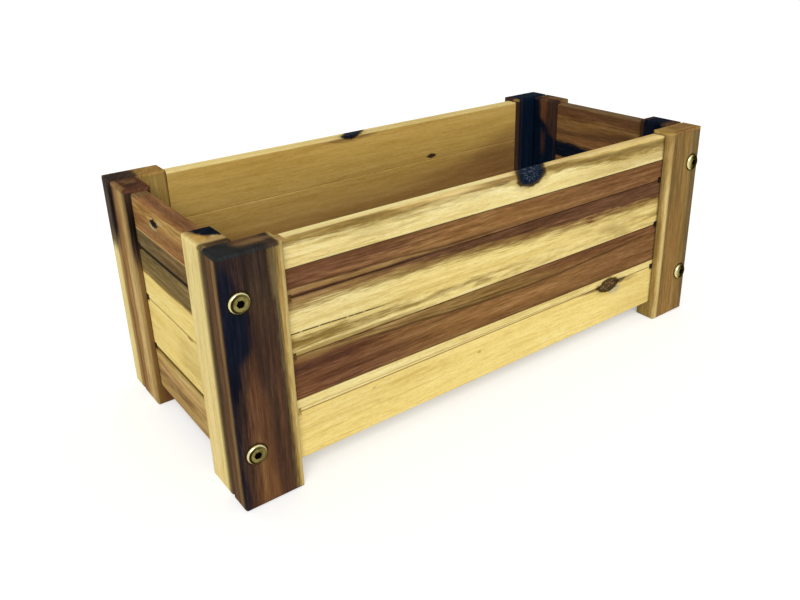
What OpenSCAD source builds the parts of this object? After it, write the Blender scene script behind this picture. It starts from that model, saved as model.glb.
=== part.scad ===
// Rectangular wooden planter: four frame-and-panel sides, bolted together at the corners, and a slatted floor.
// Each side is two upright stiles with four tongued and grooved boards housed between them.
// The origin is at the middle of the footprint, on the surface that the planter stands on.
// X runs along the long sides, Y from the front to the back, and Z up.

/* [Overall size] */
// Length of the planter along its long sides
planter_l = 490; // [380:5:900]
// Depth of the planter from front to back
planter_d = 222; // [190:2:400]
// Height of the stiles
planter_h = 190; // [160:2:260]

/* [Stiles] */
// Thickness of every stile
stile_t = 22; // [20:0.5:26]
// Width of the stiles of the long sides
long_stile_w = 47; // [38:1:70]
// Width of the stiles of the short ends
end_stile_w = 34; // [31:1:48]
// Radius of the rounded upright edges of the stiles
stile_ease = 4.5; // [0.5:0.25:5]
// Radius of the eased edges round the tops and feet of the stiles
stile_end_ease = 2.5; // [0.5:0.25:5]

/* [Boards] */
// Thickness of the boards
board_t = 13; // [11:0.5:15]
// Height from the ground to the underside of the lowest boards
foot_h = 18; // [8:1:35]
// Distance from the top of the stiles down to the top of the boards
top_drop = 3; // [0:0.5:12]
// How much lower the top board is than a middle board
top_trim = 2; // [0:0.5:8]
// How much lower the bottom board is than a middle board
bottom_trim = 5; // [0:0.5:10]
// Depth of the long boards behind the outer face of their stiles
long_recess = 7; // [4:0.5:8.5]
// Depth of the end boards behind the outer face of their stiles
end_recess = 5.5; // [4:0.5:8.5]
// Radius of the rounded top and bottom edges of a panel
panel_round = 1.5; // [0.5:0.25:3]
// Bevel on the edges where two boards meet
joint_bevel = 0.6; // [0.2:0.1:1.2]

/* [Joinery] */
// Thickness of the stub tenon on the end of each board
tenon_t = 6; // [6:0.5:8]
// Length of the stub tenon
tenon_l = 8; // [4:0.5:10]
// Distance that the tenons stop short of the top and bottom of a panel
haunch = 5; // [3:0.5:10]
// Thickness of the tongue along the top edge of a board
tongue_t = 4; // [3:0.5:4.5]
// Height of the tongue along the top edge of a board
tongue_h = 4; // [2.5:0.5:6]
// Gap round the tenons and tongues in their grooves
groove_gap = 0.2; // [0.1:0.05:0.4]
// Width of the nipped corners at the ends of the boards
nip_w = 4.5; // [2:0.5:8]
// Height of the nipped corners at the ends of the boards
nip_h = 3; // [1.5:0.5:5]

/* [Corner bolts] */
// Distance of the bolts inwards from the middle of an end stile's thickness
bolt_shift = 1; // [-1:0.25:2]
// Distance of the upper bolts below the top of the stiles
bolt_drop = 33; // [20:1:55]
// Height of the lower bolts above the ground
bolt_rise = 44; // [25:1:60]
// Diameter of the bolt shank
bolt_d = 6; // [5:0.5:7]
// Length of the bolt shank that reaches into the end stile
bolt_reach = 13; // [10:0.5:14]
// Gap between the bolt shank and its hole in the long stile
bolt_gap = 0.3; // [0.1:0.05:0.6]
// Diameter of the bolt head
head_d = 15; // [13:0.5:17]
// Height of the bolt head
head_h = 2.6; // [2.5:0.1:4]
// Height of the upright rim of the bolt head
rim_h = 0.8; // [0.3:0.1:1.5]
// Diameter of the flat on top of the bolt head
flat_d = 10.4; // [9:0.2:12]
// Width across the flats of the hexagon socket
socket_af = 5; // [3:0.5:6]
// Depth of the hexagon socket
socket_depth = 2.2; // [1.5:0.1:2.3]
// Outer diameter of the threaded insert
insert_d = 10; // [9:0.5:11]
// Length of the threaded insert
insert_l = 15; // [14.5:0.5:18]
// Gap round the insert, and between the insert and the bolt
insert_gap = 0.1; // [0.05:0.05:0.2]

/* [Floor] */
// Gap between two floor slats
slat_gap = 6; // [3:0.5:12]
// Thickness of the floor slats
slat_t = 10; // [8:0.5:15]
// Radius of the eased edges of the floor slats
slat_ease = 1; // [0.5:0.25:2]
// Gap between the floor slats and the walls round them
slat_clear = 0.5; // [0.3:0.1:1]
// Width of the cleats under the slats
cleat_w = 15; // [12:0.5:25]
// Height of the cleats under the slats
cleat_h = 15; // [12:0.5:20]
// Distance from the underside of the lowest board up to the cleats
cleat_lift = 1; // [0:0.5:5]
// Gap between the ends of a cleat and the stiles
cleat_clear = 0.5; // [0.3:0.1:2]

/* [Screws] */
// Shank diameter of the floor and cleat screws
screw_d = 3.5; // [3:0.25:4]
// Head diameter of the floor and cleat screws
screw_head_d = 7; // [6:0.25:8]
// Height of the countersunk screw head
screw_head_h = 2.2; // [1.5:0.1:3]
// Length of the screw point
screw_point = 3; // [2:0.5:5]
// Depth that the cleat screws bite into the lowest board
cleat_bite = 7; // [5:0.5:9]
// Depth that the slat screws bite into the cleats
slat_bite = 10; // [7:0.5:11]
// Width of the cross slots in the screw heads
slot_w = 0.9; // [0.6:0.1:1.2]
// Length of the cross slots in the screw heads
slot_l = 3.8; // [3:0.2:4.6]
// Depth of the cross slots in the screw heads
slot_depth = 1.2; // [0.8:0.1:1.4]
// Gap between a screw and its hole
screw_gap = 0.1; // [0.05:0.05:0.2]

/* [Hidden] */
$fn = 48;
// Length by which cutters pass the faces that they cut
over = 1;

// Each panel has four boards, numbered from the top down
board_count = 4;
slat_count = 6;
panel_top = planter_h - top_drop;
mid_board_h = (panel_top - foot_h + top_trim + bottom_trim) / board_count;
function board_h(i) = mid_board_h - (i == 1 ? top_trim : 0) - (i == board_count ? bottom_trim : 0);
function board_z(i) = panel_top + top_trim - i * mid_board_h + (i == board_count ? bottom_trim : 0);

// Clear lengths of the boards between their stiles
end_panel_w = planter_d - 2 * stile_t;
long_board_l = planter_l - 2 * long_stile_w;
end_board_l = end_panel_w - 2 * end_stile_w;

// Bolt places: bolt_inset is measured from the outer edge of a long stile, and bolt_x from the middle
bolt_inset = stile_t / 2 + bolt_shift;
bolt_x = planter_l / 2 - bolt_inset;
bolt_zs = [bolt_rise, planter_h - bolt_drop];

// Cleats and slats, with distances inwards from the outer face of a side
cleat_y = long_recess + board_t;
cleat_z = foot_h + cleat_lift;
cleat_l = long_board_l - 2 * cleat_clear;
slat_y = max(stile_t, cleat_y) + slat_clear;
slat_z = cleat_z + cleat_h;
slat_l = planter_d - 2 * slat_y;
floor_l = planter_l - 2 * max(stile_t, end_recess + board_t) - 2 * slat_clear;
slat_w = (floor_l - (slat_count - 1) * slat_gap) / slat_count;
slat_pitch = slat_w + slat_gap;
function slat_x(i) = (i - (slat_count + 1) / 2) * slat_pitch;

// Screw lengths, and the line of the slat screws over the bearing of the slats on a cleat
cleat_screw_l = cleat_w + cleat_bite;
slat_screw_l = slat_t + slat_bite;
slat_screw_y = (slat_y + cleat_y + cleat_w) / 2;

warm_brown = "#8a5c30";
pale_sap = "#e6cd86";
red_brown = "#7a4a2c";
olive_tan = "#a58c4b";
dark_heart = "#332a2b";
plated = "#b9a45c";
steel = "#9a9a94";

// A rectangle with round corners, made of true arcs
module eased_rect(w, h, r) {
    translate([r, 0]) square([w - 2 * r, h]);
    translate([0, r]) square([w, h - 2 * r]);
    for (x = [r, w - r], y = [r, h - r]) translate([x, y]) circle(r);
}

// A rectangle with bevelled corners
module bevelled_rect(w, h, b) {
    polygon([[b, 0], [w - b, 0], [w, b], [w, h - b], [w - b, h], [b, h], [0, h - b], [0, b]]);
}

// A bar whose upright edges are eased by r, and the edges round its two ends by end_r
module eased_bar(w, t, h, r, end_r) {
    intersection() {
        linear_extrude(h) eased_rect(w, t, r);
        translate([0, t, 0]) rotate([90, 0, 0]) linear_extrude(t) eased_rect(w, h, end_r);
        rotate([90, 0, 90]) linear_extrude(w) eased_rect(t, h, end_r);
    }
}

// Places a shape made for the front side on another side.
// In the side's own frame X runs along it, Y goes inwards from its outer face, and Z is up.
module on_front() translate([0, -planter_d / 2, 0]) children();
module on_back() mirror([0, 1, 0]) on_front() children();
module on_left() translate([-planter_l / 2, 0, 0]) mirror([1, -1, 0]) children();
module on_right() mirror([1, 0, 0]) on_left() children();

// Groove in the inner edge of a stile of width w, for the tenons of boards at the given recess
module stile_groove(w, recess) {
    deep = tenon_l + groove_gap;
    wide = tenon_t + 2 * groove_gap;
    low = foot_h + haunch - groove_gap;
    high = panel_top - haunch + groove_gap;
    translate([w - deep, recess + (board_t - wide) / 2, low]) cube([deep + over, wide, high - low]);
}

// Left-hand stile of a long side, with its outer edge at X = 0
module long_stile() {
    difference() {
        eased_bar(long_stile_w, stile_t, planter_h, stile_ease, stile_end_ease);
        stile_groove(long_stile_w, long_recess);
        for (z = bolt_zs) translate([bolt_inset, -over, z]) rotate([-90, 0, 0])
            cylinder(d = bolt_d + 2 * bolt_gap, h = stile_t + 2 * over);
    }
}

// Left-hand stile of a short end, with its outer edge at X = 0
module end_stile() {
    difference() {
        eased_bar(end_stile_w, stile_t, planter_h, stile_ease, stile_end_ease);
        stile_groove(end_stile_w, end_recess);
        for (z = bolt_zs) translate([-over, bolt_inset, z]) rotate([0, 90, 0])
            cylinder(d = insert_d + 2 * insert_gap, h = insert_l + insert_gap + over);
    }
}

module left_of_long() translate([-planter_l / 2, 0, 0]) children();
module left_of_end() translate([-end_panel_w / 2, 0, 0]) children();

module front_left_stile() color(dark_heart) on_front() left_of_long() long_stile();
module front_right_stile() color(warm_brown) on_front() mirror([1, 0, 0]) left_of_long() long_stile();
module back_left_stile() color(warm_brown) on_back() left_of_long() long_stile();
module back_right_stile() color(dark_heart) on_back() mirror([1, 0, 0]) left_of_long() long_stile();
module left_front_stile() color(pale_sap) on_left() left_of_end() end_stile();
module left_back_stile() color(warm_brown) on_left() mirror([1, 0, 0]) left_of_end() end_stile();
module right_front_stile() color(dark_heart) on_right() left_of_end() end_stile();
module right_back_stile() color(red_brown) on_right() mirror([1, 0, 0]) left_of_end() end_stile();

// Cross-section of board i, with its outer face at X = 0 and its lower edge at Y = 0
module board_section(i) {
    h = board_h(i);
    top_end = i == 1;
    low_end = i == board_count;
    difference() {
        union() {
            intersection() {
                translate([0, -h]) {
                    if (top_end) eased_rect(board_t, 2 * h, panel_round);
                    else bevelled_rect(board_t, 2 * h, joint_bevel);
                }
                if (low_end) eased_rect(board_t, 2 * h, panel_round);
                else bevelled_rect(board_t, 2 * h, joint_bevel);
            }
            if (!top_end) translate([(board_t - tongue_t) / 2, h - over])
                square([tongue_t, tongue_h + over]);
        }
        if (!low_end) translate([(board_t - tongue_t) / 2 - groove_gap, -over])
            square([tongue_t + 2 * groove_gap, tongue_h + groove_gap + over]);
    }
}

// Board i of a panel whose stiles leave the clear length l, with its outer face at Y = 0
module board(i, l) {
    h = board_h(i);
    full = l + 2 * tenon_l;
    cheek = (board_t - tenon_t) / 2;
    translate([0, 0, board_z(i)]) difference() {
        translate([-full / 2, 0, 0]) rotate([90, 0, 90]) linear_extrude(full) board_section(i);
        for (side = [0, 1]) mirror([side, 0, 0]) translate([l / 2, 0, 0]) {
            // The cheeks beside the tenon
            translate([0, -over, -over]) cube([tenon_l + over, cheek + over, h + tongue_h + 2 * over]);
            translate([0, board_t - cheek, -over])
                cube([tenon_l + over, cheek + over, h + tongue_h + 2 * over]);
            // The haunches at the top and the bottom of the panel
            if (i == 1) translate([0, -over, h - haunch])
                cube([tenon_l + over, board_t + 2 * over, haunch + over]);
            if (i == board_count) translate([0, -over, -over])
                cube([tenon_l + over, board_t + 2 * over, haunch + over]);
            // The nipped corners beside the stile
            if (i > 1) translate([-nip_w, -over, h - nip_h])
                cube([nip_w + over, cheek + over, nip_h + over]);
            if (i < board_count) translate([-nip_w, -over, -over])
                cube([nip_w + over, cheek + over, nip_h + over]);
        }
    }
}

module long_board(i) {
    difference() {
        translate([0, long_recess, 0]) board(i, long_board_l);
        if (i == board_count) cleat_screw_places() screw_form(cleat_screw_l, screw_gap);
    }
}

module front_board(i) color(i == 4 ? pale_sap : warm_brown) on_front() long_board(i);
module back_board(i) color(olive_tan) on_back() long_board(i);
module left_board(i) color(i == 3 ? pale_sap : warm_brown) on_left()
    translate([0, end_recess, 0]) board(i, end_board_l);
module right_board(i) color(red_brown) on_right()
    translate([0, end_recess, 0]) board(i, end_board_l);

// Half of the head's outline: an upright rim, a rounded shoulder and a flat top
module head_outline() {
    shoulder = (head_d - flat_d) / 2;
    rise = head_h - rim_h;
    r = (pow(shoulder, 2) + pow(rise, 2)) / (2 * rise);
    square([head_d / 2, rim_h]);
    square([flat_d / 2, head_h]);
    intersection() {
        translate([flat_d / 2, head_h - r]) circle(r);
        square([head_d / 2, head_h]);
    }
}

// A bolt whose head stands on the plane Z = 0, with the shank below it
module bolt() {
    shank_l = stile_t + bolt_reach;
    difference() {
        union() {
            rotate_extrude() head_outline();
            translate([0, 0, -shank_l]) cylinder(d = bolt_d, h = shank_l + rim_h);
        }
        translate([0, 0, head_h - socket_depth])
            cylinder(d = socket_af / cos(30), h = socket_depth + over, $fn = 6);
    }
}

// A plain sleeve for the threaded insert in an end stile, in the frame of its bolt
module insert() {
    translate([0, 0, -stile_t - insert_l]) difference() {
        cylinder(d = insert_d, h = insert_l - insert_gap);
        translate([0, 0, -over]) cylinder(d = bolt_d + 2 * insert_gap, h = insert_l + 2 * over);
    }
}

// The places of the bolts on a long side, with +Z turned outwards
module bolt_places() {
    for (x = [-bolt_x, bolt_x], z = bolt_zs) translate([x, 0, z]) rotate([90, 0, 0]) children();
}

module corner_bolts() color(plated) {
    on_front() bolt_places() bolt();
    on_back() bolt_places() bolt();
}

module bolt_inserts() color(plated) {
    on_front() bolt_places() insert();
    on_back() bolt_places() insert();
}

// A countersunk screw of length l, with the top of its head on the plane Z = 0 and its point below.
// With a gap it is the hole for that screw, open above the head.
module screw_form(l, gap = 0) {
    r = screw_d / 2 + gap;
    head_r = screw_head_d / 2 + gap;
    point_z = -l - gap;
    translate([0, 0, -screw_head_h]) cylinder(r1 = r, r2 = head_r, h = screw_head_h);
    if (gap > 0) cylinder(r = head_r, h = over);
    translate([0, 0, point_z]) cylinder(r1 = 0, r2 = r, h = screw_point);
    translate([0, 0, point_z + screw_point]) cylinder(r = r, h = -point_z - screw_point - screw_head_h);
}

module screw(l) difference() {
    screw_form(l);
    for (a = [0, 90]) rotate([0, 0, a]) translate([-slot_l / 2, -slot_w / 2, -slot_depth])
        cube([slot_l, slot_w, slot_depth + over]);
}

// The cleat screws go outwards into the lowest board, one below each gap in the floor
module cleat_screw_places() {
    for (i = [1:slat_count - 1])
        translate([slat_x(i) + slat_pitch / 2, cleat_y + cleat_w, cleat_z + cleat_h / 2])
            rotate([-90, 0, 0]) children();
}

// The slat screws go down into the cleats, one at each end of every slat
module slat_screw_place(i) translate([slat_x(i), slat_screw_y, slat_z + slat_t]) children();

module cleat() difference() {
    translate([-cleat_l / 2, cleat_y, cleat_z]) eased_bar(cleat_l, cleat_w, cleat_h, slat_ease, slat_ease);
    cleat_screw_places() screw_form(cleat_screw_l, screw_gap);
    for (i = [1:slat_count]) slat_screw_place(i) screw_form(slat_screw_l, screw_gap);
}

module front_cleat() color(olive_tan) on_front() cleat();
module back_cleat() color(olive_tan) on_back() cleat();

module floor_slat(i) color(warm_brown) difference() {
    translate([slat_x(i) - slat_w / 2, -slat_l / 2, slat_z])
        eased_bar(slat_w, slat_l, slat_t, slat_ease, slat_ease);
    on_front() slat_screw_place(i) screw_form(slat_screw_l, screw_gap);
    on_back() slat_screw_place(i) screw_form(slat_screw_l, screw_gap);
}

module cleat_screws() color(steel) {
    on_front() cleat_screw_places() screw(cleat_screw_l);
    on_back() cleat_screw_places() screw(cleat_screw_l);
}

module slat_screws() color(steel) for (i = [1:slat_count]) {
    on_front() slat_screw_place(i) screw(slat_screw_l);
    on_back() slat_screw_place(i) screw(slat_screw_l);
}

front_left_stile();
front_right_stile();
back_left_stile();
back_right_stile();
left_front_stile();
left_back_stile();
right_front_stile();
right_back_stile();
for (i = [1:board_count]) {
    front_board(i);
    back_board(i);
    left_board(i);
    right_board(i);
}
front_cleat();
back_cleat();
for (i = [1:slat_count]) {
    floor_slat(i);
}
corner_bolts();
bolt_inserts();
cleat_screws();
slat_screws();
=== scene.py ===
import math
from typing import NamedTuple

import bpy
from mathutils import Matrix, Vector


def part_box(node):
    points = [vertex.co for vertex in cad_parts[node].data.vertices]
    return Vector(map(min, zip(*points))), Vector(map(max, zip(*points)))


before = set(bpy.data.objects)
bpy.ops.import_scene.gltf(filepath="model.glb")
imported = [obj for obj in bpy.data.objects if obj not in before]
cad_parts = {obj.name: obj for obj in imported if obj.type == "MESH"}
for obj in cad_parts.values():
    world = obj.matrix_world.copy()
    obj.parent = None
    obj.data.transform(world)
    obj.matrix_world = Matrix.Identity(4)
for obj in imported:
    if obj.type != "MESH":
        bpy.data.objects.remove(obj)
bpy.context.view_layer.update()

MM = 0.001

# Camera, fitted to the edges of the planter in an 800 x 600 picture, in metres and pixels
CAMERA_PLACE = Vector((-0.40546, -0.52385, 0.37184))
CAMERA_TARGET = Vector((-0.10365, -0.11967, 0.16637))
CAMERA_ROLL = -0.0227
PICTURE_WIDTH = 800
FOCAL_PIXELS = 782.2
CENTRE_RIGHT_PIXELS = 13.8
CENTRE_UP_PIXELS = 58.0
SENSOR_WIDTH = 36.0
NEAREST_SEEN = 0.01

# Wood tones, as the colours 0 to 255 of a dark streak, the body and a light streak
TONES = {
    "cream": ((208, 180, 106), (240, 218, 146), (252, 238, 178)),
    "pale": ((232, 210, 136), (248, 230, 158), (255, 242, 182)),
    "honey": ((206, 166, 78), (236, 196, 102), (248, 214, 126)),
    "peach": ((214, 178, 106), (244, 214, 142), (255, 234, 174)),
    "yellow": ((226, 197, 110), (248, 221, 136), (255, 236, 158)),
    "olive": ((118, 94, 48), (156, 128, 68), (194, 168, 106)),
    "moss": ((78, 64, 38), (114, 97, 62), (148, 128, 88)),
    "golden": ((140, 108, 50), (178, 146, 80), (208, 180, 114)),
    "tan": ((138, 104, 58), (176, 142, 88), (208, 176, 120)),
    "orange": ((122, 80, 40), (165, 118, 66), (202, 154, 96)),
    "brown": ((96, 66, 38), (134, 96, 57), (168, 128, 84)),
    "russet": ((82, 50, 33), (120, 79, 50), (152, 108, 74)),
    "purple": ((64, 38, 30), (98, 64, 46), (128, 88, 66)),
    "umber": ((38, 27, 23), (64, 47, 38), (92, 68, 52)),
    "ink": ((4, 9, 18), (14, 22, 36), (34, 40, 52)),
    "soot": ((14, 9, 6), (30, 22, 17), (52, 40, 32)),
    "navy": ((5, 13, 25), (12, 28, 47), (24, 44, 64)),
    "grey": ((176, 166, 126), (206, 198, 156), (226, 218, 182)),
    "speckled": ((44, 28, 18), (98, 72, 44), (156, 128, 84)),
}

DARK_LINE = (58, 38, 22)
BLACK_LINE = (30, 22, 16)
OLIVE_LINE = (140, 112, 58)
NOTCH_SHADE = (44, 28, 18)
KNOT_RIM = (52, 34, 20)
CONTACT_DARK = (34, 25, 14)
WHITE = (1.0, 1.0, 1.0, 1.0)


def linear(colour):
    """An sRGB colour 0 to 255 as the linear colour that a shader takes."""
    steps = []
    for value in colour:
        share = value / 255
        steps.append(share / 12.92 if share <= 0.04045 else ((share + 0.055) / 1.055) ** 2.4)
    return (*steps, 1.0)


class Graph:
    """The nodes of a material or a world, made and joined by short calls."""

    def __init__(self, owner):
        self.owner = owner
        owner.use_nodes = True
        self.nodes = owner.node_tree.nodes
        self.links = owner.node_tree.links
        self.nodes.clear()

    def feed(self, socket, value):
        """Sets a socket to a number or a colour, or links it to another node's output."""
        if isinstance(value, bpy.types.NodeSocket):
            self.links.new(value, socket)
        else:
            socket.default_value = value

    def add(self, kind, inputs, **settings):
        node = self.nodes.new(kind)
        for key, value in settings.items():
            setattr(node, key, value)
        for key, value in inputs.items():
            self.feed(node.inputs[key], value)
        return node

    def calc(self, operation, *values):
        return self.add("ShaderNodeMath", dict(enumerate(values)), operation=operation).outputs[0]

    def plus(self, a, b):
        return self.calc("ADD", a, b)

    def minus(self, a, b):
        return self.calc("SUBTRACT", a, b)

    def times(self, a, b):
        return self.calc("MULTIPLY", a, b)

    def scaled(self, value, factor, extra):
        """The value times the factor, plus the extra."""
        return self.calc("MULTIPLY_ADD", value, factor, extra)

    def least(self, a, b):
        return self.calc("MINIMUM", a, b)

    def most(self, a, b):
        return self.calc("MAXIMUM", a, b)

    def size_of(self, value):
        return self.calc("ABSOLUTE", value)

    def vector(self, x, y, z):
        return self.add("ShaderNodeCombineXYZ", {0: x, 1: y, 2: z}).outputs[0]

    def length(self, x, y, z=0.0):
        place = self.vector(x, y, z)
        return self.add("ShaderNodeVectorMath", {0: place}, operation="LENGTH").outputs["Value"]

    def enlarged(self, place, factor):
        inputs = {0: place, 3: factor}
        return self.add("ShaderNodeVectorMath", inputs, operation="SCALE").outputs[0]

    def split(self, place):
        return self.add("ShaderNodeSeparateXYZ", {0: place}).outputs

    def ramp(self, value, low, high, start=0.0, end=1.0):
        """Goes smoothly from start to end while value goes from low to high."""
        inputs = {0: value, 1: low, 2: high, 3: start, 4: end}
        return self.add("ShaderNodeMapRange", inputs, interpolation_type="SMOOTHSTEP").outputs[0]

    def noise(self, place, detail=2.0, roughness=0.5):
        inputs = {"Vector": place, "Scale": 1.0, "Detail": detail, "Roughness": roughness}
        return self.add("ShaderNodeTexNoise", inputs).outputs[0]

    def colours(self, value, stops, interpolation="LINEAR"):
        node = self.add("ShaderNodeValToRGB", {0: value})
        node.color_ramp.interpolation = interpolation
        elements = node.color_ramp.elements
        while len(elements) < len(stops):
            elements.new(1.0)
        for element, (place, colour) in zip(elements, stops):
            element.position = place
            element.color = colour
        return node.outputs[0]

    def blend(self, share, below, above, mode="MIX"):
        inputs = {0: share, 6: below, 7: above}
        return self.add("ShaderNodeMix", inputs, data_type="RGBA", blend_type=mode).outputs[2]

    def lay(self, share, colour):
        """Lays a share of a colour, 0 to 255 or from another node, over the colour so far."""
        if isinstance(colour, tuple):
            colour = linear(colour)
        self.colour = self.blend(share, self.colour, colour)

    def darken(self, share, tint):
        self.colour = self.blend(share, self.colour, tint, "MULTIPLY")

    def finish(self, roughness, height, depth, **shine):
        """The shader, with a bump of the given depth in metres."""
        inputs = {"Base Color": self.colour, "Roughness": roughness, **shine}
        shader = self.add("ShaderNodeBsdfPrincipled", inputs)
        bump = self.add("ShaderNodeBump", {"Height": height, "Strength": 1.0, "Distance": depth})
        self.feed(shader.inputs["Normal"], bump.outputs[0])
        self.add("ShaderNodeOutputMaterial", {0: shader.outputs[0]})
        return self.owner


# The noises of the grain: their size in millimetres along the fibres, across the year rings and round
# the rings, their detail and roughness, and how much they darken and lighten the wood
GRAIN = {
    "broad": ((130, 8, 40), 1.0, 0.5, 0.7),
    "streak": ((50, 2.1, 12), 3.0, 0.6, 0.95),
    "fibre": ((13, 0.85, 1.2), 2.0, 0.6, 0.85),
    "hair": ((5.5, 0.36, 0.45), 1.0, 0.5, 0.35),
    "cloud": ((24, 3.4, 9), 2.0, 0.5, 0.0),
}
SPECKLE_SIZE = (2.6, 0.9, 4)
WAVE_SIZE = (150, 45, 60)
WAVE_HEIGHT = 5.0

# How the year rings lie: their lean in the board, their curve, and where the curve has its middle
RING_LEAN = math.radians(24)
RING_CURVE = 0.0022
RING_MIDDLE = 30

# Where a tone has the colours of its dark streaks, its body and its light streaks
DARK_SHADE = 0.12
MIDDLE_SHADE = 0.5
LIGHT_SHADE = 0.88

# The values of a noise between which a cloud, a dash, a fleck or a pore grows
CLOUD_EDGES = (0.34, 0.66)
DASH_EDGES = (0.34, 0.46)
FLECK_EDGES = (0.5, 0.62)
PORE_EDGES = (0.58, 0.7)
DASH_LEAST = 0.45

# Parts of a knot, where 1 is its rim, and how strongly it bends the grain
KNOT_REACH = 3.2
KNOT_PULL = 0.72
KNOT_CLOUD_DEPTH = 12
HALO_EDGES = (0.95, 1.7)
RIM_EDGES = (0.96, 1.2)
RIM_STRENGTH = 0.94
CORE_EDGE = 0.22
FLECKED_EDGES = (0.35, 0.85)

# Where each seed, and each board past a joint line, reads the noise
SEED_STEP = 331.7
BOARD_STEP = 517.3
# The range of heights that a smooth line along the grain can hold
PATH_SPAN = 1000
# How far feathered edges follow the grain along a board, as a share of their softness
FEATHER_ALONG = 0.6

NOTCH_LENGTH = 4.5
NOTCH_HALF_HEIGHT = 3.2
NOTCH_DEPTH = 3.6
NOTCH_SOFT = 0.4
# How far a zone, a line, a zone's depth and a stile's top colour take to fade away
ZONE_FADE = 12.0
LINE_FADE = 15.0
DEPTH_FADE = 2.0
TOP_FADE = 1.5

WOOD_GLOSS = 0.003
GLOSS_CHANGE = 0.2
PORE_SHARE = 0.4
PORE_TINT = (0.5, 0.4, 0.3, 1.0)
PORE_DEPTH = 0.6
END_GRAIN_EDGES = (0.6, 0.95)
END_GRAIN_TINT = (0.84, 0.84 * 0.96, 0.84 * 0.9, 1.0)
END_GRAIN_ROUGHNESS = 0.15
GRAIN_DEPTH = 0.1

ALL = (None, None)


def to(end, *soft):
    """The ends of a stretch that is open at its start, and how soft they are if that is given."""
    return (None, end, *soft)


def past(start, *soft):
    return (start, None, *soft)


def with_soft(ends, soft):
    """The ends, and how soft they are: their own third value or the given one."""
    return ends if len(ends) == 3 else (*ends, soft)


class Knot(NamedTuple):
    """Where a knot is, its half sizes, and how far it leans along the grain for each mm of depth.

    A power of 2 makes it round and a lower one draws it out to points. Its dark core reaches out to
    a share of its size, and fleck is the colour of the specks in it."""
    u: float
    v: float
    half_u: float
    half_v: float
    lean: float = 0.0
    tone: str = "ink"
    wobble: float = 0.6
    flecks: float = 0.5
    power: float = 1.35
    core: float = 0.95
    halo: float = 0.6
    fleck: tuple = (112, 118, 116)


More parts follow.
